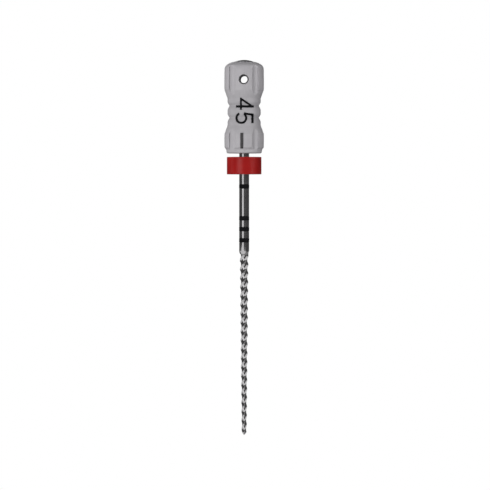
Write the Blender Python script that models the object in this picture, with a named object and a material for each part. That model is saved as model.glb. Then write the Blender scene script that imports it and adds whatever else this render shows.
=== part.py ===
"""Hand endodontic file, ISO size 45, 25 mm long, with a moulded handle and a silicone stop.

The instrument hangs tip down. The origin is the tip, +Z runs along the axis towards the handle,
and the printed front of the handle faces -Y. Lengths are in metres.
"""

import math

import bpy

MM = 0.001

# The instrument as a whole, measured along the axis from the tip.
WORKING_LENGTH = 25.0 * MM
BLADE_LENGTH = 16.0 * MM
HANDLE_LENGTH = 8.235 * MM
FIT_GAP = 0.015 * MM

# The steel blank: a three-sided ground taper, twisted, below a round shank.
TIP_DIAMETER = 0.45 * MM
TAPER = 0.02
BLADE_CORNERS = 3
BLADE_CROWN = 0.5
TWIST_LEAD = 2.368 * MM
TWIST_START = math.radians(-17.0)
TIP_HALF_ANGLE = math.radians(37.5)
TIP_FLAT_RADIUS = 0.03 * MM
RUNOUT_LENGTH = 0.34 * MM
SHANK_RADIUS = 0.438 * MM
BLANK_COLUMNS = 18
STEPS_PER_TURN = 20

# The tang that the handle is moulded round.
TANG_LENGTH = 5.3 * MM
TANG_GROOVES = (1.0 * MM, 1.8 * MM, 2.6 * MM)
TANG_GROOVE_WIDTH = 0.4 * MM
TANG_GROOVE_DEPTH = 0.08 * MM
PADDLE_LENGTH = 1.5 * MM
PADDLE_HALF_THICKNESS = 0.28 * MM

# Depth marks: thin black rings set in shallow grooves of the shank.
BAND_HEIGHTS = {"22": 22.06 * MM, "19": 19.23 * MM, "18": 18.27 * MM, "17": 17.28 * MM}
BAND_WIDTH = 0.38 * MM
BAND_GROOVE_DEPTH = 0.03 * MM
BAND_PROUD = 0.012 * MM

# The silicone stop.
STOP_RADIUS = 1.535 * MM
STOP_HEIGHT = 1.54 * MM
STOP_UNDERSIDE = 23.14 * MM
STOP_BORE_RADIUS = 0.462 * MM
STOP_EDGE = 0.05 * MM

# The handle: two fluted grips with a ringed waist between them.
LOBE_RADIUS = 1.755 * MM
WAIST_RADIUS = 1.472 * MM
NECK_RADIUS = 1.3 * MM
NECK_HEIGHTS = (3.165 * MM, 4.225 * MM)
DOME_RADIUS = 3.7 * MM
SHOULDER_HEIGHT = 7.443 * MM
SHOULDER_RADIUS = 0.55 * MM

# The flutes, in degrees from the nearer of the front and back. Each is a valley between a wall
# and a wider floor, both flat, given by the way that they face and their distance from the axis.
FLUTE_EDGES = (25.2, 37.0, 47.2, 48.4)
FLUTE_WALL_FACING = 58.8
FLUTE_WALL_DISTANCE = 1.4605 * MM
FLUTE_FLOOR_FACING = 27.0
FLUTE_FLOOR_DISTANCE = 1.55 * MM

# The cross hole for a safety thread, countersunk at both ends.
HOLE_HEIGHT = 6.55 * MM
HOLE_RADIUS = 0.33 * MM
HOLE_MOUTH_RADIUS = 0.445 * MM
COUNTERSINK_DEPTH = 0.18 * MM

# The dark insert on the dome, set slightly off the axis.
TOP_MARK_RADIUS = 0.85 * MM
TOP_MARK_OFFSET = 0.1 * MM
TOP_MARK_BASE = 7.97 * MM
TOP_MARK_TOP = 8.3 * MM
TOP_MARK_CROWN = 2.4 * MM

# The print: a film of ink that follows the handle's surface.
INK_GAP = 0.01 * MM
INK_THICKNESS = 0.025 * MM
STROKE = 0.195 * MM
FOUR_TOP = 29.92 * MM
FOUR_WIDTH = 1.07 * MM
FOUR_HEIGHT = 1.575 * MM
FOUR_BASE_X = -0.69 * MM
FIVE_TOP = 28.65 * MM
FIVE_WIDTH = 1.06 * MM
FIVE_HEIGHT = 1.615 * MM
FIVE_BASE_X = -0.75 * MM
DASH_CENTRE_X = -0.165 * MM
DASH_WIDTH = 0.27 * MM
DASH_SPAN = (25.41 * MM, 26.81 * MM)


# Scene and materials

def clear_scene():
    for old in list(bpy.data.objects):
        bpy.data.objects.remove(old)


def make_material(name, colour, roughness, metallic=0.0):
    material = bpy.data.materials.new(name)
    material.use_nodes = True
    shader = material.node_tree.nodes["Principled BSDF"]
    shader.inputs["Base Color"].default_value = (*colour, 1.0)
    shader.inputs["Roughness"].default_value = roughness
    shader.inputs["Metallic"].default_value = metallic
    return material


# Building solids

def add_object(name, points, faces, material=None):
    """An object from points and faces, shaded smooth with its hard edges kept."""
    mesh = bpy.data.meshes.new(name)
    mesh.from_pydata(points, [], faces)
    mesh.update()
    mesh.shade_smooth()
    mesh.set_sharp_from_angle(angle=math.radians(28))
    if material:
        mesh.materials.append(material)
    obj = bpy.data.objects.new(name, mesh)
    bpy.context.scene.collection.objects.link(obj)
    return obj


def solid_from_rows(name, rows, material=None):
    """A closed solid through rings of points, listed from the lowest ring to the highest."""
    count = len(rows[0])
    points = [point for row in rows for point in row]
    faces = [tuple(reversed(range(count)))]
    for low in range(0, count * (len(rows) - 1), count):
        for column in range(count):
            following = (column + 1) % count
            faces.append((low + column, low + following,
                          low + count + following, low + count + column))
    last = count * (len(rows) - 1)
    faces.append(tuple(range(last, last + count)))
    return add_object(name, points, faces, material)


def turned_solid(name, outline, columns, material=None):
    """A turned solid from its outer outline of (height, radius) pairs, lowest first."""
    rows = []
    for height, radius in outline:
        angles = [2 * math.pi * k / columns for k in range(columns)]
        rows.append([(radius * math.cos(a), radius * math.sin(a), height) for a in angles])
    return solid_from_rows(name, rows, material)


def turned_ring(name, section, columns, material):
    """A turned ring from its closed section of (height, radius) pairs, anticlockwise seen with
    the radius to the right and the height upwards."""
    count = len(section)
    points = []
    for k in range(columns):
        angle = 2 * math.pi * k / columns
        points += [(r * math.cos(angle), r * math.sin(angle), z) for z, r in section]
    faces = []
    for k in range(columns):
        here, there = k * count, (k + 1) % columns * count
        for i in range(count):
            j = (i + 1) % count
            faces.append((here + i, there + i, there + j, here + j))
    return add_object(name, points, faces, material)


def make_cutter(obj):
    obj.hide_render = True
    obj.display_type = "WIRE"
    return obj


def combine(obj, other, operation):
    """Adds a Boolean modifier: UNION, DIFFERENCE or INTERSECT with the other object."""
    modifier = obj.modifiers.new(f"{operation.lower()} {other.name}", "BOOLEAN")
    modifier.operation = operation
    modifier.solver = "EXACT"
    modifier.object = other


def arc(centre_height, centre_radius, radius, start, end, steps):
    """Points of a round stretch of an outline. Angles are in degrees up from straight outwards."""
    points = []
    for k in range(steps + 1):
        angle = math.radians(start + (end - start) * k / steps)
        points.append((centre_height + radius * math.sin(angle),
                       centre_radius + radius * math.cos(angle)))
    return points


# The steel blank

def blade_radius(height):
    return TIP_DIAMETER / 2 + TAPER / 2 * height


def ground_section(corner, flat, turn):
    """The radius function of a three-sided section with crowned sides, a corner at the angle turn."""
    side = 2 * math.pi / BLADE_CORNERS

    def radius_at(angle):
        off_middle = (angle - turn) % side - side / 2
        straight = min(corner, flat / math.cos(off_middle))
        return straight + (corner - straight) * BLADE_CROWN

    return radius_at


def section_row(height, turn, radius_at):
    """One ring of the blank; its columns turn with the twist."""
    row = []
    for k in range(BLANK_COLUMNS):
        angle = turn + 2 * math.pi * k / BLANK_COLUMNS
        radius = radius_at(angle)
        row.append((radius * math.cos(angle), radius * math.sin(angle), height))
    return row


def twist(height):
    return TWIST_START + 2 * math.pi * height / TWIST_LEAD


def blade_rows():
    """The tip cone, the twisted blade and the run-out of its flats into the round shank."""
    side = math.pi / BLADE_CORNERS
    cone_length = (blade_radius(0) - TIP_FLAT_RADIUS) / math.tan(TIP_HALF_ANGLE)
    heights = [cone_length * k / 3 for k in range(3)]
    steps = round((BLADE_LENGTH - cone_length) * STEPS_PER_TURN / TWIST_LEAD)
    for k in range(steps + 1):
        heights.append(cone_length + (BLADE_LENGTH - cone_length) * k / steps)
    rows = []
    for height in heights:
        cone = TIP_FLAT_RADIUS + height * math.tan(TIP_HALF_ANGLE)
        corner = blade_radius(height)
        section = ground_section(min(corner, cone), corner * math.cos(side), twist(height))
        rows.append(section_row(height, twist(height), section))
    runout_steps = 4
    corner = blade_radius(BLADE_LENGTH)
    for k in range(1, runout_steps + 1):
        t = k / runout_steps
        height = BLADE_LENGTH + RUNOUT_LENGTH * t
        grown_corner = corner + (SHANK_RADIUS - corner) * t
        flat = corner * math.cos(side) * (1 - t) + SHANK_RADIUS * t
        section = ground_section(grown_corner, flat, twist(height))
        rows.append(section_row(height, twist(height), section))
    return rows


def round_row(height, radius):
    return section_row(height, twist(BLADE_LENGTH + RUNOUT_LENGTH), lambda angle: radius)


def shank_rows():
    """The round shank, with a square-sided groove under each depth mark."""
    rows = []
    for centre in sorted(BAND_HEIGHTS.values()):
        low = centre - BAND_WIDTH / 2 - FIT_GAP
        high = centre + BAND_WIDTH / 2 + FIT_GAP
        floor = SHANK_RADIUS - BAND_GROOVE_DEPTH
        rows.append(round_row(low, SHANK_RADIUS))
        rows.append(round_row(low, floor))
        rows.append(round_row(high, floor))
        rows.append(round_row(high, SHANK_RADIUS))
    return rows


def tang_rows(grow, start):
    """The tang, or with grow the hollow round it: three grooves and a flattened end."""
    radius = SHANK_RADIUS + grow
    rows = [round_row(start, radius)]
    for centre in TANG_GROOVES:
        middle = WORKING_LENGTH + centre
        rows.append(round_row(middle - TANG_GROOVE_WIDTH / 2, radius))
        rows.append(round_row(middle, radius - TANG_GROOVE_DEPTH))
        rows.append(round_row(middle + TANG_GROOVE_WIDTH / 2, radius))
    end = WORKING_LENGTH + TANG_LENGTH
    paddle_start = end - PADDLE_LENGTH
    turn = twist(BLADE_LENGTH + RUNOUT_LENGTH)

    def paddle(angle):
        flat = PADDLE_HALF_THICKNESS / max(abs(math.sin(angle)), 0.01)
        return min(SHANK_RADIUS, flat) + grow

    rows.append(round_row(paddle_start - 2 * TANG_GROOVE_DEPTH, radius))
    rows.append(section_row(paddle_start, turn, paddle))
    rows.append(section_row(end + grow, turn, paddle))
    return rows


def make_blank(material):
    rows = blade_rows() + shank_rows() + tang_rows(0.0, WORKING_LENGTH)
    return solid_from_rows("file_blank", rows, material)


# The handle

def handle_outline():
    """The handle's outline through its lobes: heights above the underside, and radii."""
    underside = arc(0.25 * MM, 1.32 * MM, 0.25 * MM, -90, 0, 3)
    low_grip = [(0.28 * MM, 1.59 * MM), (0.35 * MM, 1.62 * MM), (0.44 * MM, 1.68 * MM),
                (0.53 * MM, 1.735 * MM), (0.75 * MM, 1.75 * MM), (1.3 * MM, LOBE_RADIUS)]
    low_flare = [(1.7 * MM, 1.748 * MM), (1.8 * MM, 1.728 * MM), (1.93 * MM, 1.673 * MM),
                 (2.12 * MM, 1.612 * MM), (2.39 * MM, 1.502 * MM), (2.5 * MM, WAIST_RADIUS)]
    necks = []
    for height in NECK_HEIGHTS:
        necks += [(height - 0.37 * MM, WAIST_RADIUS), (height - 0.22 * MM, 1.42 * MM)]
        necks += [(height, NECK_RADIUS)]
        necks += [(height + 0.21 * MM, 1.427 * MM), (height + 0.34 * MM, WAIST_RADIUS)]
    high_grip = [(4.87 * MM, WAIST_RADIUS), (5.05 * MM, 1.537 * MM), (5.32 * MM, 1.63 * MM),
                 (5.5 * MM, 1.687 * MM), (5.62 * MM, 1.735 * MM), (5.77 * MM, LOBE_RADIUS),
                 (6.4 * MM, LOBE_RADIUS)]
    middle_radius = LOBE_RADIUS - 0.01 * MM - SHOULDER_RADIUS
    shoulder = arc(SHOULDER_HEIGHT, middle_radius, SHOULDER_RADIUS, 8, 70, 5)
    dome = [(HANDLE_LENGTH - radius ** 2 / (2 * DOME_RADIUS), radius)
            for radius in (1.1 * MM, 0.7 * MM, 0.35 * MM)]
    return underside + low_grip + low_flare + necks + high_grip + shoulder + dome


def handle_angles():
    """Column angles in degrees from the front, with a column on each edge of the flutes."""
    inner_top, valley, outer_foot, outer_top = FLUTE_EDGES
    quarter = (0, 8, 16, inner_top, (inner_top + valley) / 2, valley, (valley + outer_foot) / 2,
               outer_foot, outer_top, 55, 63, 72, 81, 90)
    angles = {turned % 360 for a in quarter for turned in (a, 180 - a, 180 + a, 360 - a)}
    return sorted(angles)


def flute_limit(folded):
    """How far out the surface may lie at an angle from the nearer of the front and back."""
    inner_top, _, outer_foot, outer_top = FLUTE_EDGES
    if not inner_top < folded < outer_top:
        return LOBE_RADIUS
    wall = FLUTE_WALL_DISTANCE / math.cos(math.radians(folded - FLUTE_WALL_FACING))
    floor = FLUTE_FLOOR_DISTANCE / math.cos(math.radians(folded - FLUTE_FLOOR_FACING))
    valley = max(wall, floor)
    rise = max(0.0, (folded - outer_foot) / (outer_top - outer_foot))
    return valley + (LOBE_RADIUS - valley) * rise


def handle_skin(name, grow, material=None):
    """The handle's outer form, larger all round by grow."""
    rows = []
    for height, radius in handle_outline():
        row = []
        for degrees in handle_angles():
            folded = abs((degrees + 90) % 180 - 90)
            limited = min(radius, flute_limit(folded)) + grow
            angle = math.radians(degrees)
            row.append((limited * math.sin(angle), -limited * math.cos(angle),
                        WORKING_LENGTH + height))
        rows.append(row)
    return solid_from_rows(name, rows, material)


def make_floss_hole():
    """The cutter of the cross hole, lying along Y."""
    surface = LOBE_RADIUS
    widening = (HOLE_MOUTH_RADIUS - HOLE_RADIUS) / COUNTERSINK_DEPTH
    outer = 2 * MM
    wide = HOLE_MOUTH_RADIUS + (outer - surface) * widening
    foot = surface - COUNTERSINK_DEPTH
    outline = [(-outer, wide), (-foot, HOLE_RADIUS), (foot, HOLE_RADIUS), (outer, wide)]
    cutter = turned_solid("floss_hole_cutter", outline, 28)
    cutter.location = (0, 0, WORKING_LENGTH + HOLE_HEIGHT)
    cutter.rotation_euler = (math.pi / 2, 0, 0)
    return make_cutter(cutter)


def make_handle(material):
    handle = handle_skin("handle", 0.0, material)
    tang_hollow = solid_from_rows("tang_cutter", tang_rows(FIT_GAP, WORKING_LENGTH - 0.5 * MM))
    combine(handle, make_cutter(tang_hollow), "DIFFERENCE")
    combine(handle, make_floss_hole(), "DIFFERENCE")
    pocket_radius = TOP_MARK_RADIUS + FIT_GAP
    above_dome = HANDLE_LENGTH + 0.5 * MM
    pocket_outline = [(TOP_MARK_BASE - FIT_GAP, pocket_radius), (above_dome, pocket_radius)]
    pocket = turned_solid("top_pocket_cutter", pocket_outline, 32)
    pocket.location = (TOP_MARK_OFFSET, 0, WORKING_LENGTH)
    combine(handle, make_cutter(pocket), "DIFFERENCE")
    return handle


def make_top_mark(material):
    """A low crowned disc set in the pocket on the dome."""
    outline = [(TOP_MARK_BASE, TOP_MARK_RADIUS)]
    for share in (1.0, 0.8, 0.5, 0.2):
        radius = TOP_MARK_RADIUS * share
        outline.append((TOP_MARK_TOP - radius ** 2 / (2 * TOP_MARK_CROWN), radius))
    mark = turned_solid("top_mark", outline, 32, material)
    mark.location = (TOP_MARK_OFFSET, 0, WORKING_LENGTH)
    return mark


# The stop and the depth marks

def make_stop(material):
    """A plain silicone disc. Its origin is at its underside on the axis that it slides along."""
    section = [
        (0, STOP_BORE_RADIUS),
        (0, STOP_RADIUS - STOP_EDGE),
        (STOP_EDGE, STOP_RADIUS),
        (STOP_HEIGHT - STOP_EDGE, STOP_RADIUS),
        (STOP_HEIGHT, STOP_RADIUS - STOP_EDGE),
        (STOP_HEIGHT, STOP_BORE_RADIUS),
    ]
    stop = turned_ring("silicone_stop", section, 40, material)
    stop.location = (0, 0, STOP_UNDERSIDE)
    return stop


def make_bands(material):
    inner = SHANK_RADIUS - BAND_GROOVE_DEPTH + FIT_GAP
    outer = SHANK_RADIUS + BAND_PROUD
    half = BAND_WIDTH / 2
    section = [(-half, inner), (-half, outer), (half, outer), (half, inner)]
    for label, height in BAND_HEIGHTS.items():
        band = turned_ring(f"depth_band_{label}", section, 28, material)
        band.location = (0, 0, height)


# The print on the handle

def stroke_slab(name, outline, material=None):
    """A flat outline of (x, z) points, listed anticlockwise seen from the front, cut through
    the handle's front wall."""
    front, back = -2.2 * MM, -0.6 * MM
    rows = [[(x, depth, z) for x, z in outline] for depth in (back, front)]
    return solid_from_rows(name, rows, material)


def straight_stroke(start, end, width):
    """The outline of a straight stroke between two points, with square ends."""
    length = math.dist(start, end)
    side_x = -(end[1] - start[1]) / length * width / 2
    side_y = (end[0] - start[0]) / length * width / 2
    return [(start[0] - side_x, start[1] - side_y), (end[0] - side_x, end[1] - side_y),
            (end[0] + side_x, end[1] + side_y), (start[0] + side_x, start[1] + side_y)]


def curved_stroke(centre, radius, start, end, width):
    """The outline of a stroke along an arc, anticlockwise from start to end in degrees."""
    steps = 18
    angles = [math.radians(start + (end - start) * k / steps) for k in range(steps + 1)]
    outer = [(centre[0] + (radius + width / 2) * math.cos(a),
              centre[1] + (radius + width / 2) * math.sin(a)) for a in angles]
    inner = [(centre[0] + (radius - width / 2) * math.cos(a),
              centre[1] + (radius - width / 2) * math.sin(a)) for a in reversed(angles)]
    return outer + inner


def digit_four():
    """The strokes of a 4, in its own upright frame."""
    half = STROKE / 2
    stem = 0.722 * FOUR_WIDTH
    bar = 0.28 * FOUR_HEIGHT
    return [
        straight_stroke((stem, 0), (stem, FOUR_HEIGHT), STROKE),
        straight_stroke((0, bar), (FOUR_WIDTH, bar), STROKE),
        straight_stroke((0.7 * half, bar - 0.4 * half), (stem, FOUR_HEIGHT - 1.3 * half), STROKE),
    ]


def digit_five():
    """The strokes of a 5, in its own upright frame."""
    half = STROKE / 2
    radius = FIVE_WIDTH / 2 - half
    centre = (FIVE_WIDTH / 2, FIVE_WIDTH / 2)
    foot = (0.125 * FIVE_WIDTH, 0.475 * FIVE_HEIGHT)
    shoulder = (0.225 * FIVE_WIDTH, FIVE_HEIGHT - 0.2 * half)
    top = FIVE_HEIGHT - half
    return [
        curved_stroke(centre, radius, -156, 145, STROKE),
        straight_stroke(foot, shoulder, STROKE),
        straight_stroke((0.14 * FIVE_WIDTH, top), (0.93 * FIVE_WIDTH, top), STROKE),
    ]


def lay_on_side(outline, base_x, top):
    """Turns an upright outline clockwise, so that the number reads from top to bottom."""
    return [(base_x + v, top - u) for u, v in outline]


def make_ink(name, outlines, skins, material):
    """A film of ink: the outlines joined, and cut to the space between the two skins."""
    inner_skin, outer_skin = skins
    ink = stroke_slab(name, outlines[0], material)
    for number, outline in enumerate(outlines[1:], start=1):
        part = make_cutter(stroke_slab(f"{name}_stroke_{number}", outline))
        combine(ink, part, "UNION")
    combine(ink, outer_skin, "INTERSECT")
    combine(ink, inner_skin, "DIFFERENCE")
    return ink


def make_print(material):
    inner_skin = make_cutter(handle_skin("ink_inner_skin", INK_GAP))
    outer_skin = make_cutter(handle_skin("ink_outer_skin", INK_GAP + INK_THICKNESS))
    skins = (inner_skin, outer_skin)
    four = [lay_on_side(stroke, FOUR_BASE_X, FOUR_TOP) for stroke in digit_four()]
    five = [lay_on_side(stroke, FIVE_BASE_X, FIVE_TOP) for stroke in digit_five()]
    make_ink("size_digit_4", four, skins, material)
    make_ink("size_digit_5", five, skins, material)
    low, high = DASH_SPAN
    dash = straight_stroke((DASH_CENTRE_X, low), (DASH_CENTRE_X, high), DASH_WIDTH)
    make_ink("index_dash", [dash], skins, material)


def main():
    clear_scene()
    plastic = make_material("handle_grey", (0.45, 0.44, 0.47), 0.5)
    steel = make_material("stainless_steel", (0.62, 0.61, 0.62), 0.22, 1.0)
    silicone = make_material("stop_red", (0.34, 0.014, 0.014), 0.45)
    ink = make_material("black_mark", (0.012, 0.011, 0.012), 0.5)
    make_handle(plastic)
    make_top_mark(ink)
    make_blank(steel)
    make_stop(silicone)
    make_bands(ink)
    make_print(ink)


main()
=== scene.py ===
"""The looks of the endodontic file: fine meshes, materials, light and camera round the CAD frame."""

import math

import bpy
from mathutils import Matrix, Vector


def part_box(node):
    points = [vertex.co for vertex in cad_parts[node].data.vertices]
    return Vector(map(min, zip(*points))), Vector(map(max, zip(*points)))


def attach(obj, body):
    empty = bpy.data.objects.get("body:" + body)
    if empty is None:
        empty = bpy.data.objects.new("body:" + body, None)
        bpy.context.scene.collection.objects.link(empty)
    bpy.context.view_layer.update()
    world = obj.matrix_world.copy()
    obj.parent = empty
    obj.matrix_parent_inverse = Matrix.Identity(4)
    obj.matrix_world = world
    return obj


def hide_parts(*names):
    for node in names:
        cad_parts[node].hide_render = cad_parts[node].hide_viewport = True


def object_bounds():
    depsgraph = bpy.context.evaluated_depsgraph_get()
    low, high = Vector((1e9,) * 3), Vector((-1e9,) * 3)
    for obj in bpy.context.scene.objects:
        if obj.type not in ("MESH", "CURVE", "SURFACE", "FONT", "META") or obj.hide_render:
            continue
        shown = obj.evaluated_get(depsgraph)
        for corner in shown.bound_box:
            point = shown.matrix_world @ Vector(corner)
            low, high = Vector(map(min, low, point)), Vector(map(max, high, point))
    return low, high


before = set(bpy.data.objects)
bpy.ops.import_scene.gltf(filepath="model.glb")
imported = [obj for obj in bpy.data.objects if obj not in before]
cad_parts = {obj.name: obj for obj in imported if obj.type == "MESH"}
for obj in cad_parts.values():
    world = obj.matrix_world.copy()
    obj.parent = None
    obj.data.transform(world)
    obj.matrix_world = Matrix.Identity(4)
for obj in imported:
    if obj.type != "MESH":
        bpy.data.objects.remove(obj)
CAD_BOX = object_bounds()

MM = 0.001

# Places and sizes read from the frame.
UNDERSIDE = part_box("handle")[0].z
BLANK_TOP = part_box("file_blank")[1].z
STOP_LOW, STOP_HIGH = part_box("silicone_stop")
MARK_LOW, MARK_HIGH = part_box("top_mark")
FOUR_LOW, FOUR_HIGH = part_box("size_digit_4")
FIVE_LOW, FIVE_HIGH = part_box("size_digit_5")
DASH_LOW, DASH_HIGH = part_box("index_dash")
BANDS = [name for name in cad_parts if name.startswith("depth_band")]
OBJECT_MIDDLE = (CAD_BOX[0].z + CAD_BOX[1].z) / 2

# The handle, as the frame's handle is built.
LOBE_RADIUS = 1.755 * MM
NECK_HEIGHTS = (3.165 * MM, 4.225 * MM)
WAIST_MIDDLE = 3.7 * MM

# The flutes, in degrees from the nearer of the front and back. Each is a valley between a flat
# wall and a flat floor, with a steep step from the floor up to the lobe.
FLUTE_STEP_FOOT = 47.2
FLUTE_STEP_TOP = 48.4
FLUTE_WALL_FACING = 58.8
FLUTE_WALL_DISTANCE = 1.4605 * MM
FLUTE_FLOOR_FACING = 27.0
FLUTE_FLOOR_DISTANCE = 1.55 * MM
FLUTE_LEAN = 2.0
FLUTE_LEAN_START = 41
FLUTE_LEAN_DEPTH = 0.05 * MM

# The dome, the cross hole, the painted shade in the countersinks and round the waist, and the black
# insert.
DOME_TOP = 8.245 * MM
DOME_RADIUS = 3.7 * MM
SHOULDER_HEIGHT = 7.443 * MM
SHOULDER_RADIUS = 0.55 * MM
EDGE_SOFTNESS = 0.03 * MM
HANDLE_STEP = 0.035 * MM
HOLE_HEIGHT = UNDERSIDE + 6.55 * MM
HOLE_RADIUS = 0.33 * MM
HOLE_MOUTH_RADIUS = 0.445 * MM
COUNTERSINK_DEPTH = 0.18 * MM
# Painted shade: the soft edge of the dark grey painted into the countersinks.
COUNTERSINK_PAINTED_SHADE_EDGE = 0.006 * MM
# Painted shade: how far the plastic is darkened round the recessed waist, and where it fades out.
WAIST_PAINTED_SHADE = 0.3
WAIST_PAINTED_SHADE_FULL = 1.3 * MM
WAIST_PAINTED_SHADE_NONE = 2.2 * MM
MARK_CROWN = 2.35 * MM
MARK_EDGE = 0.015 * MM
MARK_COLUMNS = 120
MARK_POCKET_GAP = 0.004 * MM
FIT_GAP = 0.015 * MM

# The steel blank.
TIP_DIAMETER = 0.45 * MM
TAPER = 0.02
BLADE_LENGTH = 16.0 * MM
TWIST_LEAD = 2.368 * MM
TWIST_START = math.radians(-17.0)
BLADE_CORNERS = 3
BLADE_CROWN = 0.5
TIP_HALF_ANGLE = math.radians(37.5)
TIP_FLAT_RADIUS = 0.03 * MM
RUNOUT_LENGTH = 0.34 * MM
RUNOUT_STEPS = 16
SHANK_RADIUS = 0.438 * MM
BLANK_COLUMNS = 96
BLADE_STEP = 0.03 * MM

# The tang, and the depth bands in their grooves.
TANG_GROOVES = (1.0 * MM, 1.8 * MM, 2.6 * MM)
TANG_GROOVE_WIDTH = 0.4 * MM
TANG_GROOVE_DEPTH = 0.08 * MM
PADDLE_LENGTH = 1.5 * MM
PADDLE_SHOULDER = 0.16 * MM
PADDLE_HALF_THICKNESS = 0.28 * MM
BAND_GROOVE_DEPTH = 0.03 * MM
BAND_GROOVE_EDGE = 0.006 * MM
BAND_EDGE = 0.008 * MM
BAND_COLUMNS = 120

# The stop.
STOP_BORE_RADIUS = 0.462 * MM
STOP_LEAD_IN = 0.04 * MM
STOP_EDGE = 0.045 * MM
STOP_COLUMNS = 180

# The print.
INK_GAP = 0.002 * MM
INK_THICKNESS = 0.02 * MM
INK_STEP = 0.035 * MM
INK_MARGIN = 0.06 * MM
SLAB_DEPTHS = (-0.6 * MM, -2.2 * MM)
STROKE = 0.188 * MM
FOUR_WIDTH = 1.07 * MM
FIVE_WIDTH = 1.06 * MM

# The camera and the studio.
VIEW_WIDTH = 43.53 * MM
VIEW_CENTRE_X = 0.075 * MM
VIEW_CENTRE_Z = 16.86 * MM
CAMERA_AZIMUTH = math.radians(1.5)
LENS = 600.0
SENSOR = 36.0
FLOOR_Z = -0.1
FLOOR_RADIUS = 0.23
FLOOR_SIDES = 96
BLACK_CARD = 0.06
PLAIN_FILL = 0.03
SOFT_BOXES = (
    # left, right, low and high in degrees, soft margin, level
    (-14, 92, 14, 100, 10, 0.7),
    (-108, 34, -100, -14, 10, 0.66),
    (34, 190, -100, -20, 12, 0.25),
    (-40, -16, -14, 14, 8, 1.0),
)
LIGHT_DISTANCE = 0.8
LIGHT_SIZE = (0.35, 0.8)
LIGHTS = (
    # name, azimuth and elevation in degrees, watts
    ("key", -30, 3, 7.0),
    ("left_edge", -90, 3, 3.0),
    ("right_edge", 62, 3, 5.0),
    ("back", 180, 20, 6.0),
)


# Meshes

def add_mesh(name, points, faces, sharp_degrees=30):
    mesh = bpy.data.meshes.new(name)
    mesh.from_pydata(points, [], faces)
    mesh.update()
    mesh.shade_smooth()
    mesh.set_sharp_from_angle(angle=math.radians(sharp_degrees))
    obj = bpy.data.objects.new(name, mesh)
    bpy.context.scene.collection.objects.link(obj)
    return obj


def solid_from_rows(name, rows, sharp_degrees=30):
    """A closed solid through rings of points, from the lowest ring to the highest."""
    count = len(rows[0])
    points = [point for row in rows for point in row]
    faces = [tuple(reversed(range(count)))]
    for low in range(0, count * (len(rows) - 1), count):
        for column in range(count):
            following = (column + 1) % count
            faces.append((low + column, low + following,
                          low + count + following, low + count + column))
    last = count * (len(rows) - 1)
    faces.append(tuple(range(last, last + count)))
    return add_mesh(name, points, faces, sharp_degrees)


def turned_solid(name, outline, columns, centre=(0, 0), sharp_degrees=30):
    """A turned solid from its outer outline of (height, radius) pairs, lowest first."""
    angles = [2 * math.pi * k / columns for k in range(columns)]
    rows = [[(centre[0] + r * math.cos(a), centre[1] + r * math.sin(a), z) for a in angles]
            for z, r in outline]
    return solid_from_rows(name, rows, sharp_degrees)


def turned_ring(name, section, columns, sharp_degrees=30):
    """A turned ring from its closed (height, radius) section, anticlockwise with the radius to
    the right and the height upwards."""
    count = len(section)
    points = []
    for k in range(columns):
        angle = 2 * math.pi * k / columns
        points += [(r * math.cos(angle), r * math.sin(angle), z) for z, r in section]
    faces = []
    for k in range(columns):
        here, there = k * count, (k + 1) % columns * count
        for i in range(count):
            j = (i + 1) % count
            faces.append((here + i, there + i, there + j, here + j))
    return add_mesh(name, points, faces, sharp_degrees)


def rounded(corners, closed=False, step_degrees=9):
    """An outline through (height, radius, fillet) corners, each corner turned into an arc."""
    count = len(corners)
    outline = []
    for k, (z, r, fillet) in enumerate(corners):
        if fillet == 0 or (not closed and k in (0, count - 1)):
            outline.append((z, r))
            continue
        before = Vector(corners[k - 1][:2])
        after = Vector(corners[(k + 1) % count][:2])
        here = Vector((z, r))
        into, out = (before - here), (after - here)
        half_angle = into.angle(out) / 2
        reach = min(fillet / math.tan(half_angle), into.length * 0.49, out.length * 0.49)
        radius = reach * math.tan(half_angle)
        middle = (into.normalized() + out.normalized()).normalized()
        centre = here + middle * (radius / math.sin(half_angle))
        start = here + into.normalized() * reach - centre
        end = here + out.normalized() * reach - centre
        turn = start.angle_signed(end)
        steps = max(2, math.ceil(abs(math.degrees(turn)) / step_degrees))
        for s in range(steps + 1):
            angle = -turn * s / steps
            c, n = math.cos(angle), math.sin(angle)
            outline.append((centre.x + start.x * c - start.y * n,
                            centre.y + start.x * n + start.y * c))
    return outline


def divided(outline, step):
    """The same outline with no stretch longer than step."""
    points = [outline[0]]
    for (z0, r0), (z1, r1) in zip(outline, outline[1:]):
        parts = max(1, math.ceil(math.hypot(z1 - z0, r1 - r0) / step))
        points += [(z0 + (z1 - z0) * k / parts, r0 + (r1 - r0) * k / parts)
                   for k in range(1, parts + 1)]
    return points


def combine(obj, other, operation):
    modifier = obj.modifiers.new(other.name, "BOOLEAN")
    modifier.operation = operation
    modifier.solver = "EXACT"
    modifier.object = other


def settle(obj, cutters, sharp_degrees=30):
    """Turns the object's modifiers into plain mesh and removes the cutters."""
    depsgraph = bpy.context.evaluated_depsgraph_get()
    mesh = bpy.data.meshes.new_from_object(obj.evaluated_get(depsgraph))
    obj.modifiers.clear()
    obj.data = mesh
    mesh.shade_smooth()
    mesh.set_sharp_from_angle(angle=math.radians(sharp_degrees))
    for cutter in cutters:
        bpy.data.objects.remove(cutter)
    return obj


# Shader nodes

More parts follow.
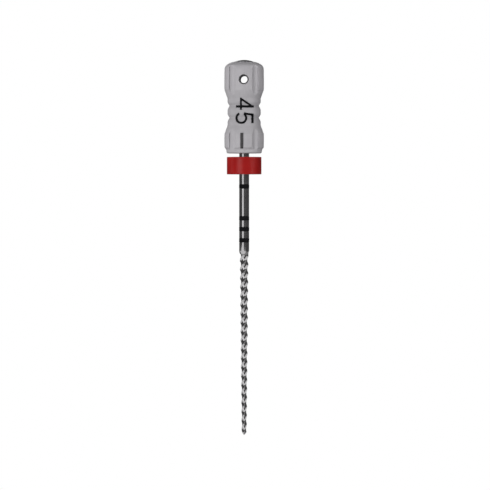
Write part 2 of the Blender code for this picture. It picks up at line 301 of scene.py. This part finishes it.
class Shader:
    """A material's node tree, with short calls for the nodes that the finishes share."""

    def __init__(self, name, **values):
        self.material = bpy.data.materials.new(name)
        self.material.use_nodes = True
        self.tree = self.material.node_tree
        self.surface = self.tree.nodes["Principled BSDF"]
        for socket, value in values.items():
            self.surface.inputs[socket.replace("_", " ")].default_value = value
        self.place = self.node("ShaderNodeTexCoord").outputs["Object"]

    def node(self, kind, **settings):
        made = self.tree.nodes.new(kind)
        for name, value in settings.items():
            setattr(made, name, value)
        return made

    def link(self, output, target):
        self.tree.links.new(output, target)

    def stretched(self, scale):
        """The object's own coordinates, scaled by three factors."""
        mapping = self.node("ShaderNodeMapping")
        mapping.inputs["Scale"].default_value = scale
        self.link(self.place, mapping.inputs["Vector"])
        return mapping.outputs["Vector"]

    def noise(self, scale, detail=3.0, roughness=0.55, stretch=(1, 1, 1)):
        texture = self.node("ShaderNodeTexNoise")
        texture.inputs["Scale"].default_value = scale
        texture.inputs["Detail"].default_value = detail
        texture.inputs["Roughness"].default_value = roughness
        self.link(self.stretched(stretch), texture.inputs["Vector"])
        return texture.outputs["Fac"]

    def between(self, value, low, high, from_low=0.3, from_high=0.7, smooth=False):
        """A value mapped from one range to another, clamped."""
        mapped = self.node("ShaderNodeMapRange")
        if smooth:
            mapped.interpolation_type = "SMOOTHSTEP"
        mapped.inputs["From Min"].default_value = from_low
        mapped.inputs["From Max"].default_value = from_high
        mapped.inputs["To Min"].default_value = low
        mapped.inputs["To Max"].default_value = high
        self.link(value, mapped.inputs["Value"])
        return mapped.outputs["Result"]

    def math(self, operation, first, second=None):
        made = self.node("ShaderNodeMath", operation=operation)
        for socket, value in zip(made.inputs, (first, second)):
            if isinstance(value, (int, float)):
                socket.default_value = value
            elif value is not None:
                self.link(value, socket)
        return made.outputs[0]

    def mix(self, factor, first, second):
        """Two colours mixed by a factor. Each may be a colour or a socket."""
        made = self.node("ShaderNodeMix", data_type="RGBA")
        self.link(factor, made.inputs["Factor"])
        for socket, value in ((made.inputs[6], first), (made.inputs[7], second)):
            if isinstance(value, tuple):
                socket.default_value = (*value, 1.0)
            else:
                self.link(value, socket)
        return made.outputs[2]

    def bump(self, height, strength, distance, before=None):
        made = self.node("ShaderNodeBump")
        made.inputs["Strength"].default_value = strength
        made.inputs["Distance"].default_value = distance
        self.link(height, made.inputs["Height"])
        if before:
            self.link(before, made.inputs["Normal"])
        return made.outputs["Normal"]

    def set(self, socket, output):
        self.link(output, self.surface.inputs[socket])


def handle_finish():
    """Satin moulded plastic: faint flow mottling and a spark-eroded grain, with painted shade:
    dark grey in the countersinks and a little darker round the waist."""
    s = Shader("handle_plastic")
    s.surface.inputs["IOR"].default_value = 1.49
    mottle = s.noise(900, detail=4)
    streaks = s.noise(500, detail=3, stretch=(1, 1, 0.18))
    grey = s.mix(s.between(mottle, 0, 1), (0.315, 0.305, 0.32), (0.355, 0.345, 0.36))
    grey = s.mix(s.between(streaks, 0, 0.35), grey, (0.375, 0.364, 0.38))
    axes = s.node("ShaderNodeSeparateXYZ")
    s.link(s.place, axes.inputs[0])
    # Painted shade: the countersinks and the bore are coloured dark grey, where the hole's walls lie in
    # shade.
    up = s.math("SUBTRACT", axes.outputs["Z"], HOLE_HEIGHT)
    from_hole = s.math("SQRT", s.math("ADD", s.math("MULTIPLY", up, up),
                                      s.math("MULTIPLY", axes.outputs["X"], axes.outputs["X"])))
    countersink_painted_shade = s.between(from_hole, 1, 0, HOLE_MOUTH_RADIUS - COUNTERSINK_PAINTED_SHADE_EDGE,
                      HOLE_MOUTH_RADIUS + COUNTERSINK_PAINTED_SHADE_EDGE)
    # Painted shade: the plastic is mixed towards a darker grey round the recessed waist between the
    # lobes.
    off_waist = s.math("ABSOLUTE", s.math("SUBTRACT", axes.outputs["Z"], UNDERSIDE + WAIST_MIDDLE))
    waist_painted_shade = s.between(off_waist, WAIST_PAINTED_SHADE, 0, WAIST_PAINTED_SHADE_FULL, WAIST_PAINTED_SHADE_NONE, smooth=True)
    grey = s.mix(waist_painted_shade, grey, (0.26, 0.252, 0.263))
    s.set("Base Color", s.mix(countersink_painted_shade, grey, (0.07, 0.068, 0.072)))
    s.set("Roughness", s.between(s.noise(6000, detail=2), 0.42, 0.56))
    grain = s.bump(s.noise(9000, detail=3), 0.25, 0.004 * MM)
    s.set("Normal", s.bump(s.noise(1400, detail=2), 0.2, 0.02 * MM, grain))
    return s.material


def steel_finish(name, line_scale, line_strength, colour, rough):
    """Ground or drawn steel, with fine lines round the axis and slight staining."""
    s = Shader(name, Metallic=1.0)
    stain = s.noise(700, detail=4)
    s.set("Base Color", s.mix(s.between(stain, 0, 1), colour, tuple(0.88 * c for c in colour)))
    lines = s.noise(line_scale, detail=4, roughness=0.7, stretch=(0.05, 0.05, 1))
    s.set("Roughness", s.between(lines, rough[0], rough[1]))
    s.set("Normal", s.bump(lines, line_strength, 0.002 * MM))
    return s.material


def silicone_finish():
    """Dyed silicone: soft gloss, a slightly cloudy colour and a fine mould grain."""
    s = Shader("stop_silicone")
    s.surface.inputs["IOR"].default_value = 1.41
    cloud = s.noise(600, detail=3)
    s.set("Base Color", s.mix(s.between(cloud, 0, 1), (0.215, 0.005, 0.005), (0.265, 0.008, 0.007)))
    s.set("Roughness", s.between(s.noise(2500, detail=3), 0.3, 0.4))
    grain = s.bump(s.noise(5000, detail=2), 0.2, 0.004 * MM)
    s.set("Normal", s.bump(s.noise(900, detail=2), 0.15, 0.02 * MM, grain))
    return s.material


def black_finish(name, rough, colour=(0.004, 0.004, 0.0045), gloss=0.15):
    """Black ink or enamel: not quite even, with a fine grain."""
    s = Shader(name, Specular_IOR_Level=gloss)
    patch = s.noise(1500, detail=3)
    s.set("Base Color", s.mix(s.between(patch, 0, 1), colour, tuple(2.0 * c for c in colour)))
    s.set("Roughness", s.between(s.noise(5000, detail=3), rough[0], rough[1]))
    s.set("Normal", s.bump(s.noise(7000, detail=2), 0.2, 0.003 * MM))
    return s.material


# The handle

def handle_outline():
    """Heights above the underside and radii, through the lobes. The corners are in millimetres."""
    corners = [
        (0.0, 1.2, 0), (0.0, 1.56, 0.22), (0.26, 1.585, 0.05), (0.35, 1.61, 0.06),
        (0.44, 1.68, 0.1), (0.54, 1.742, 0.06), (1.3, 1.756, 0.8), (1.72, 1.749, 0.25),
        (1.93, 1.673, 0.3), (2.12, 1.612, 0.6), (2.4, 1.5, 0.4), (2.52, 1.472, 0.3),
    ]
    for neck in NECK_HEIGHTS:
        low = neck / MM
        corners += [(low - 0.37, 1.472, 0.12), (low - 0.22, 1.42, 0.15), (low, 1.295, 0.05),
                    (low + 0.21, 1.427, 0.15), (low + 0.34, 1.472, 0.12)]
    corners += [(4.87, 1.472, 0.3), (5.05, 1.537, 0.5), (5.32, 1.63, 0.5), (5.62, 1.737, 0.25),
                (5.8, 1.756, 0.3), (6.4, 1.756, 0.5), (7.5, 1.744, 0)]
    outline = rounded([(z * MM, r * MM, fillet * MM) for z, r, fillet in corners])
    centre = LOBE_RADIUS - 0.01 * MM - SHOULDER_RADIUS
    for degrees in range(8, 71, 2):
        angle = math.radians(degrees)
        outline.append((SHOULDER_HEIGHT + SHOULDER_RADIUS * math.sin(angle),
                        centre + SHOULDER_RADIUS * math.cos(angle)))
    for k in range(13, 0, -1):
        radius = k * 0.1 * MM
        outline.append((DOME_TOP - radius ** 2 / (2 * DOME_RADIUS), radius))
    return divided(outline, HANDLE_STEP)


def soft_min(a, b, softness):
    """The lesser of two lengths, rounded where they cross."""
    blend = max(0.0, softness - abs(a - b)) / softness
    return min(a, b) - blend * blend * softness / 4


def smooth(value):
    t = min(1.0, max(0.0, value))
    return t * t * (3 - 2 * t)


def flute_limit(folded):
    """How far out a flute lets the surface lie, at an angle from the nearer of front and back."""
    wall = FLUTE_WALL_DISTANCE / math.cos(math.radians(folded - FLUTE_WALL_FACING))
    floor = FLUTE_FLOOR_DISTANCE / math.cos(math.radians(folded - FLUTE_FLOOR_FACING))
    return -soft_min(-wall, -floor, 2 * EDGE_SOFTNESS)


def quarter_columns():
    """The columns of a quarter of the handle: the angle, how much further round the column leans
    at the foot of a flute's outer step, and how far out a flute lets it lie."""
    columns = [(angle * 1.5, 0, None) for angle in range(16)]
    columns += [(angle, 0, flute_limit(angle)) for angle in
                (24.2, 24.7, 25.2, 25.7, 26.3, 27.2, 28.5, 30, 32, 34, 35.2, 36,
                 36.6, 37.2, 37.8, 38.6, 40)]
    for angle in (41.5, 43, 44.3, 45.4, 46.3, FLUTE_STEP_FOOT):
        lean = FLUTE_LEAN * smooth((angle - FLUTE_LEAN_START) / (FLUTE_STEP_FOOT - FLUTE_LEAN_START))
        columns.append((angle, lean, flute_limit(angle + lean)))
    foot = columns[-1][2]
    for share in (0.25, 0.5, 0.75, 0.9):
        angle = FLUTE_STEP_FOOT + (FLUTE_STEP_TOP - FLUTE_STEP_FOOT) * share
        columns.append((angle, FLUTE_LEAN * (1 - share), foot + (LOBE_RADIUS - foot) * share))
    columns += [(angle, 0, None) for angle in (FLUTE_STEP_TOP, 49, 50)]
    return columns + [(angle, 0, None) for angle in range(52, 91, 2)]


def handle_columns():
    """All the columns in order round the handle, from the front: angle, lean and limit."""
    quarter = quarter_columns()
    back = [(180 - angle, -lean, limit) for angle, lean, limit in reversed(quarter)]
    half = quarter + back[1:]
    other = [(360 - angle, -lean, limit) for angle, lean, limit in reversed(half)]
    return half + other[1:-1]


def handle_form(name):
    """The handle's outer shape, with the flutes pressed into its outline."""
    rows = []
    columns = handle_columns()
    for height, radius in handle_outline():
        row = []
        for degrees, lean, limit in columns:
            r = radius
            if limit:
                r = soft_min(radius, limit, EDGE_SOFTNESS)
                degrees += lean * smooth((radius - limit) / FLUTE_LEAN_DEPTH)
            angle = math.radians(degrees)
            row.append((r * math.sin(angle), -r * math.cos(angle), UNDERSIDE + height))
        rows.append(row)
    return solid_from_rows(name, rows)


def floss_hole_cutter():
    reach = LOBE_RADIUS
    beyond = 0.25 * MM
    slope = (HOLE_MOUTH_RADIUS - HOLE_RADIUS) / COUNTERSINK_DEPTH
    wide = HOLE_MOUTH_RADIUS + beyond * slope
    foot = reach - COUNTERSINK_DEPTH
    corners = [(-reach - beyond, wide, 0), (-foot, HOLE_RADIUS, 0.05 * MM),
               (foot, HOLE_RADIUS, 0.05 * MM), (reach + beyond, wide, 0)]
    cutter = turned_solid("floss_hole", rounded(corners), 72)
    cutter.rotation_euler = (math.pi / 2, 0, 0)
    cutter.location = (0, 0, HOLE_HEIGHT)
    return cutter


def make_handle():
    handle = handle_form("handle_shell")
    hole = floss_hole_cutter()
    tang = solid_from_rows("tang_space", tang_rows(FIT_GAP, UNDERSIDE - 0.5 * MM))
    centre = (MARK_LOW + MARK_HIGH) / 2
    pocket_radius = (MARK_HIGH.x - MARK_LOW.x) / 2 + MARK_POCKET_GAP
    pocket = turned_solid("pocket", [(MARK_LOW.z - MARK_POCKET_GAP, pocket_radius),
                                     (MARK_HIGH.z + 1 * MM, pocket_radius)],
                          MARK_COLUMNS, (centre.x, centre.y))
    for cutter in (hole, tang, pocket):
        combine(handle, cutter, "DIFFERENCE")
    settle(handle, (hole, tang, pocket))
    handle.data.materials.append(handle_finish())
    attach(handle, "instrument")
    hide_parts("handle")


def make_top_mark():
    """The crowned black insert in the dome's pocket."""
    centre = (MARK_LOW + MARK_HIGH) / 2
    radius = (MARK_HIGH.x - MARK_LOW.x) / 2
    angles = [2 * math.pi * k / MARK_COLUMNS for k in range(MARK_COLUMNS)]
    shares = (1, 0.985, 0.9, 0.75, 0.6, 0.45, 0.3, 0.15, 0.05)
    circles = [[(centre.x + share * radius * math.cos(a), share * radius * math.sin(a))
                for a in angles] for share in shares]

    def crowned(circle, top):
        return [(x, y, top - (x * x + y * y) / (2 * MARK_CROWN)) for x, y in circle]

    rows = [[(x, y, MARK_LOW.z) for x, y in circles[0]],
            crowned(circles[0], MARK_HIGH.z - MARK_EDGE)]
    rows += [crowned(circle, MARK_HIGH.z) for circle in circles[1:]]
    mark = solid_from_rows("top_insert", rows)
    mark.data.materials.append(black_finish("black_mark", (0.4, 0.55)))
    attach(mark, "instrument")
    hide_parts("top_mark")


# The steel blank

def blank_row(height, turn, radius_at):
    """A ring of points at a height, whose radius depends on the angle."""
    row = []
    for k in range(BLANK_COLUMNS):
        angle = turn + 2 * math.pi * k / BLANK_COLUMNS
        radius = radius_at(angle)
        row.append((radius * math.cos(angle), radius * math.sin(angle), height))
    return row


def twist(height):
    return TWIST_START + 2 * math.pi * height / TWIST_LEAD


def ground_section(corner, flat, turn):
    """The radius function of a many-sided section with crowned sides, a corner at the angle turn."""
    side = 2 * math.pi / BLADE_CORNERS

    def radius_at(angle):
        straight = min(corner, flat / math.cos((angle - turn) % side - side / 2))
        return straight + (corner - straight) * BLADE_CROWN

    return radius_at


def blade_rows():
    """The cone of the tip, the twisted blade and the run-out of its flats."""
    rows = []
    steps = round(BLADE_LENGTH / BLADE_STEP)
    for k in range(steps + 1):
        height = BLADE_LENGTH * k / steps
        corner = TIP_DIAMETER / 2 + TAPER / 2 * height
        cone = TIP_FLAT_RADIUS + height * math.tan(TIP_HALF_ANGLE)
        section = ground_section(min(corner, cone), corner / 2, twist(height))
        rows.append(blank_row(height, twist(height), section))
    corner = TIP_DIAMETER / 2 + TAPER / 2 * BLADE_LENGTH
    for k in range(1, RUNOUT_STEPS + 1):
        t = k / RUNOUT_STEPS
        height = BLADE_LENGTH + RUNOUT_LENGTH * t
        grown = corner + (SHANK_RADIUS - corner) * t
        flat = corner / 2 * (1 - t) + SHANK_RADIUS * t
        rows.append(blank_row(height, twist(height), ground_section(grown, flat, twist(height))))
    return rows


def round_row(height, radius):
    return blank_row(height, twist(BLADE_LENGTH + RUNOUT_LENGTH), lambda angle: radius)


def shank_rows():
    """The grooves of the depth bands, from the lowest to the highest."""
    floor = SHANK_RADIUS - BAND_GROOVE_DEPTH
    rim = SHANK_RADIUS - BAND_GROOVE_EDGE
    rows = []
    for low, high in sorted((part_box(name)[0].z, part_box(name)[1].z) for name in BANDS):
        start, end = low - FIT_GAP, high + FIT_GAP
        groove = ((start - BAND_GROOVE_EDGE, SHANK_RADIUS), (start, rim), (start, floor),
                  (end, floor), (end, rim), (end + BAND_GROOVE_EDGE, SHANK_RADIUS))
        rows += [round_row(height, radius) for height, radius in groove]
    return rows


def tang_rows(grow, start):
    """The tang inside the handle, or with grow the space round it."""
    radius = SHANK_RADIUS + grow
    rows = [round_row(start, radius)]
    for centre in TANG_GROOVES:
        middle = UNDERSIDE + centre
        rows += [round_row(middle - TANG_GROOVE_WIDTH / 2, radius),
                 round_row(middle, radius - TANG_GROOVE_DEPTH),
                 round_row(middle + TANG_GROOVE_WIDTH / 2, radius)]
    end = BLANK_TOP
    turn = twist(BLADE_LENGTH + RUNOUT_LENGTH)

    def paddle(angle):
        return min(SHANK_RADIUS, PADDLE_HALF_THICKNESS / max(abs(math.sin(angle)), 0.01)) + grow

    rows += [round_row(end - PADDLE_LENGTH - PADDLE_SHOULDER, radius),
             blank_row(end - PADDLE_LENGTH, turn, paddle), blank_row(end + grow, turn, paddle)]
    return rows


def make_blank():
    rows = blade_rows() + shank_rows() + tang_rows(0.0, UNDERSIDE)
    blank = solid_from_rows("steel_blank", rows, 24)
    ground = steel_finish("ground_steel", 30000, 0.06, (0.72, 0.71, 0.72), (0.1, 0.16))
    drawn = steel_finish("drawn_steel", 20000, 0.05, (0.66, 0.65, 0.66), (0.14, 0.2))
    for finish in (ground, drawn):
        blank.data.materials.append(finish)
    shank_start = BLADE_LENGTH + RUNOUT_LENGTH * 0.9
    for face in blank.data.polygons:
        if face.center.z > shank_start:
            face.material_index = 1
    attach(blank, "instrument")
    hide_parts("file_blank")


def make_bands():
    finish = black_finish("depth_enamel", (0.35, 0.5), gloss=0.05)
    for name in BANDS:
        low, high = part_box(name)
        inner = SHANK_RADIUS - BAND_GROOVE_DEPTH + FIT_GAP
        section = rounded([(low.z, inner, 0), (low.z, high.x, BAND_EDGE), (high.z, high.x, BAND_EDGE),
                           (high.z, inner, 0)], closed=True, step_degrees=30)
        band = turned_ring(f"{name}_ring", section, BAND_COLUMNS)
        band.data.materials.append(finish)
        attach(band, "instrument")
        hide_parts(name)


# The stop

def make_stop():
    """A plain disc with a round bore that opens a little at both faces."""
    low, high, outer = STOP_LOW.z, STOP_HIGH.z, STOP_HIGH.x
    mouth = STOP_BORE_RADIUS + STOP_LEAD_IN
    section = rounded([
        (low + STOP_LEAD_IN, STOP_BORE_RADIUS, 0), (low, mouth, 0), (low, outer, STOP_EDGE),
        (high, outer, STOP_EDGE), (high, mouth, 0), (high - STOP_LEAD_IN, STOP_BORE_RADIUS, 0),
    ], closed=True)
    stop = turned_ring("silicone_disc", section, STOP_COLUMNS)
    stop.data.materials.append(silicone_finish())
    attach(stop, "stop")
    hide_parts("silicone_stop")


# The print

def surface_depth(x, z, outline):
    """How far before the axis the handle's front lies at a place across and a height."""
    height = z - UNDERSIDE
    for (z0, r0), (z1, r1) in zip(outline, outline[1:]):
        if z0 <= height <= z1 and z1 > z0:
            radius = r0 + (r1 - r0) * (height - z0) / (z1 - z0)
            return math.sqrt(radius * radius - x * x)


def skin_patch(low, high):
    """A film over the front of the handle between two (x, z) corners, as a closed solid."""
    outline = handle_outline()
    across = math.ceil((high[0] - low[0]) / INK_STEP)
    upwards = math.ceil((high[1] - low[1]) / INK_STEP)
    points = []
    for i in range(upwards + 1):
        z = low[1] + (high[1] - low[1]) * i / upwards
        for k in range(across + 1):
            x = low[0] + (high[0] - low[0]) * k / across
            points.append((x, -surface_depth(x, z, outline) - INK_GAP, z))
    count = len(points)
    points += [(x, y - INK_THICKNESS, z) for x, y, z in points]
    row = across + 1
    faces = []
    for i in range(upwards):
        for k in range(across):
            a = i * row + k
            faces.append((a, a + row, a + row + 1, a + 1))
            faces.append((count + a, count + a + 1, count + a + row + 1, count + a + row))
    border = [k for k in range(across)] + [i * row + across for i in range(upwards)]
    border += [upwards * row + k for k in range(across, 0, -1)]
    border += [i * row for i in range(upwards, 0, -1)]
    for a, b in zip(border, border[1:] + border[:1]):
        faces.append((a, b, count + b, count + a))
    return add_mesh("skin_patch", points, faces)


def slab(name, outline):
    """A flat outline of (x, z) points, anticlockwise seen from the front, as a slab that passes
    through the handle's front."""
    rows = [[(x, depth, z) for x, z in outline] for depth in SLAB_DEPTHS]
    return solid_from_rows(name, rows)


def straight_stroke(start, end, width):
    """The outline of a straight stroke between two points, with square ends."""
    along = (Vector(end) - Vector(start)).normalized()
    side = Vector((-along.y, along.x)) * (width / 2)
    a, b = Vector(start), Vector(end)
    return [tuple(a - side), tuple(b - side), tuple(b + side), tuple(a + side)]


def curved_stroke(centre, radius, start, end, width):
    """The outline of a stroke along an arc, anticlockwise from start to end in degrees."""
    steps = 60
    outline = []
    for reach, order in ((radius + width / 2, 1), (radius - width / 2, -1)):
        angles = [math.radians(start + (end - start) * k / steps) for k in range(steps + 1)][::order]
        outline += [(centre[0] + reach * math.cos(a), centre[1] + reach * math.sin(a)) for a in angles]
    return outline


def digit_four(width, height):
    """The strokes of a 4, in its own upright frame."""
    half = STROKE / 2
    stem, bar = 0.722 * width, 0.28 * height
    return [
        straight_stroke((stem, 0), (stem, height), STROKE * 1.08),
        straight_stroke((0, bar), (width, bar), STROKE * 0.9),
        straight_stroke((half * 0.7, bar - half * 0.4), (stem, height - half * 1.3), STROKE * 0.92),
    ]


def digit_five(width, height):
    """The strokes of a 5, in its own upright frame."""
    half = STROKE / 2
    radius = width / 2 - half
    top = height - half
    return [
        curved_stroke((width / 2, width / 2), radius, -156, 145, STROKE),
        straight_stroke((0.125 * width, 0.475 * height), (0.225 * width, height - 0.2 * half), STROKE),
        straight_stroke((0.14 * width, top), (0.93 * width, top), STROKE * 1.08),
    ]


def make_ink(name, node, outlines, low, high, finish):
    """A film of ink on the handle, in the shape of the joined outlines."""
    film = slab(name, outlines[0])
    cutters = [slab(f"{name}_{k}", outline) for k, outline in enumerate(outlines[1:])]
    for cutter in cutters:
        combine(film, cutter, "UNION")
    patch = skin_patch((low.x - INK_MARGIN, low.z - INK_MARGIN),
                       (high.x + INK_MARGIN, high.z + INK_MARGIN))
    combine(film, patch, "INTERSECT")
    settle(film, cutters + [patch])
    film.data.materials.append(finish)
    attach(film, "instrument")
    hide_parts(node)


def make_print():
    """The size number, which reads from top to bottom, and the index dash below it."""
    ink = black_finish("print_ink", (0.45, 0.6), (0.003, 0.003, 0.0035), 0.06)
    digits = ((digit_four, "size_digit_4", FOUR_WIDTH, FOUR_LOW, FOUR_HIGH),
              (digit_five, "size_digit_5", FIVE_WIDTH, FIVE_LOW, FIVE_HIGH))
    for digit, node, width, low, high in digits:
        strokes = digit(width, high.x - low.x)
        outlines = [[(low.x + v, low.z + width - u) for u, v in stroke] for stroke in strokes]
        make_ink(f"{node}_film", node, outlines, low, high, ink)
    worn_ink = black_finish("worn_ink", (0.45, 0.6), (0.034, 0.033, 0.034), 0.1)
    middle = (DASH_LOW.x + DASH_HIGH.x) / 2
    dash = straight_stroke((middle, DASH_LOW.z), (middle, DASH_HIGH.z), DASH_HIGH.x - DASH_LOW.x)
    make_ink("index_dash_film", "index_dash", [dash], DASH_LOW, DASH_HIGH, worn_ink)


# The studio

def make_world():
    """White to the camera, a faint even fill to matt surfaces, and in reflections a ring of dark
    cards with soft boxes among them."""
    world = bpy.data.worlds.new("studio")
    bpy.context.scene.world = world
    world.use_nodes = True
    tree = world.node_tree
    tree.nodes.clear()

    def node(kind, **settings):
        made = tree.nodes.new(kind)
        for name, value in settings.items():
            setattr(made, name, value)
        return made

    def ramp(value, start, end, low, high):
        made = node("ShaderNodeMapRange", interpolation_type="SMOOTHSTEP")
        for socket, number in zip(("From Min", "From Max", "To Min", "To Max"), (start, end, low, high)):
            made.inputs[socket].default_value = number
        tree.links.new(value, made.inputs["Value"])
        return made.outputs["Result"]

    def calculate(operation, first, second):
        made = node("ShaderNodeMath", operation=operation)
        for socket, value in zip(made.inputs, (first, second)):
            if isinstance(value, (int, float)):
                socket.default_value = value
            else:
                tree.links.new(value, socket)
        return made.outputs[0]

    def window(value, low, high, soft):
        """One between two angles in degrees, fading to nothing over the soft margin outside them."""
        low, high, soft = math.radians(low), math.radians(high), math.radians(soft)
        return calculate("MULTIPLY", ramp(value, low - soft, low, 0, 1),
                         ramp(value, high, high + soft, 1, 0))

    axes = node("ShaderNodeSeparateXYZ")
    tree.links.new(node("ShaderNodeTexCoord").outputs["Generated"], axes.inputs[0])
    heading = calculate("ARCTAN2", axes.outputs["X"], calculate("MULTIPLY", axes.outputs["Y"], -1))
    rise = calculate("ARCSINE", axes.outputs["Z"], 0)
    light = None
    for left, right, low, high, soft, level in SOFT_BOXES:
        box = calculate("MULTIPLY", window(heading, left, right, soft), window(rise, low, high, soft))
        box = calculate("MULTIPLY", box, level)
        light = calculate("MAXIMUM", light, box) if light else calculate("MAXIMUM", box, BLACK_CARD)
    lit = node("ShaderNodeBackground")
    tree.links.new(light, lit.inputs["Color"])
    white = node("ShaderNodeBackground")
    white.inputs["Color"].default_value = (1, 1, 1, 1)
    fill = node("ShaderNodeBackground")
    fill.inputs["Color"].default_value = (PLAIN_FILL, PLAIN_FILL, PLAIN_FILL, 1)
    path = node("ShaderNodeLightPath")
    matt = node("ShaderNodeMixShader")
    tree.links.new(path.outputs["Is Diffuse Ray"], matt.inputs[0])
    tree.links.new(lit.outputs[0], matt.inputs[1])
    tree.links.new(fill.outputs[0], matt.inputs[2])
    seen = node("ShaderNodeMixShader")
    tree.links.new(path.outputs["Is Camera Ray"], seen.inputs[0])
    tree.links.new(matt.outputs[0], seen.inputs[1])
    tree.links.new(white.outputs[0], seen.inputs[2])
    tree.links.new(seen.outputs[0], node("ShaderNodeOutputWorld").inputs["Surface"])


def make_floor():
    """A plain white disc well below the object, which is held in the fingers and never stands."""
    rim = [(FLOOR_RADIUS * math.cos(a), FLOOR_RADIUS * math.sin(a), FLOOR_Z)
           for a in (2 * math.pi * k / FLOOR_SIDES for k in range(FLOOR_SIDES))]
    floor = add_mesh("floor", rim, [tuple(range(FLOOR_SIDES))])
    shader = Shader("floor_white", Base_Color=(0.8, 0.8, 0.8, 1), Roughness=0.9,
                    Emission_Color=(1, 1, 1, 1), Emission_Strength=1.0)
    floor.data.materials.append(shader.material)
    floor.visible_glossy = False
    floor.visible_diffuse = False


def make_light(name, azimuth, elevation, power):
    """A soft box that faces the object's middle, unseen by the camera and in reflections."""
    light = bpy.data.lights.new(name, "AREA")
    light.shape = "RECTANGLE"
    light.size, light.size_y = LIGHT_SIZE
    light.energy = power
    lamp = bpy.data.objects.new(name, light)
    bpy.context.scene.collection.objects.link(lamp)
    a, e = math.radians(azimuth), math.radians(elevation)
    toward = Vector((math.sin(a) * math.cos(e), -math.cos(a) * math.cos(e), math.sin(e)))
    lamp.location = Vector((0, 0, OBJECT_MIDDLE)) + toward * LIGHT_DISTANCE
    lamp.rotation_euler = toward.to_track_quat("Z", "Y").to_euler()
    lamp.visible_camera = False
    lamp.visible_glossy = False


def make_camera():
    """A long lens square on to the object, turned a degree and a half to its right."""
    distance = VIEW_WIDTH * LENS / SENSOR
    data = bpy.data.cameras.new("camera")
    data.lens, data.sensor_width = LENS, SENSOR
    data.clip_start, data.clip_end = 0.01, 10
    camera = bpy.data.objects.new("camera", data)
    bpy.context.scene.collection.objects.link(camera)
    right = Vector((math.cos(CAMERA_AZIMUTH), math.sin(CAMERA_AZIMUTH), 0))
    back = Vector((math.sin(CAMERA_AZIMUTH), -math.cos(CAMERA_AZIMUTH), 0))
    camera.location = right * VIEW_CENTRE_X + back * distance + Vector((0, 0, VIEW_CENTRE_Z))
    camera.rotation_euler = (math.pi / 2, 0, CAMERA_AZIMUTH)
    bpy.context.scene.camera = camera


def main():
    make_handle()
    make_top_mark()
    make_blank()
    make_bands()
    make_stop()
    make_print()
    make_world()
    make_floor()
    for light in LIGHTS:
        make_light(*light)
    make_camera()
    bpy.context.scene.view_settings.view_transform = "Standard"


main()
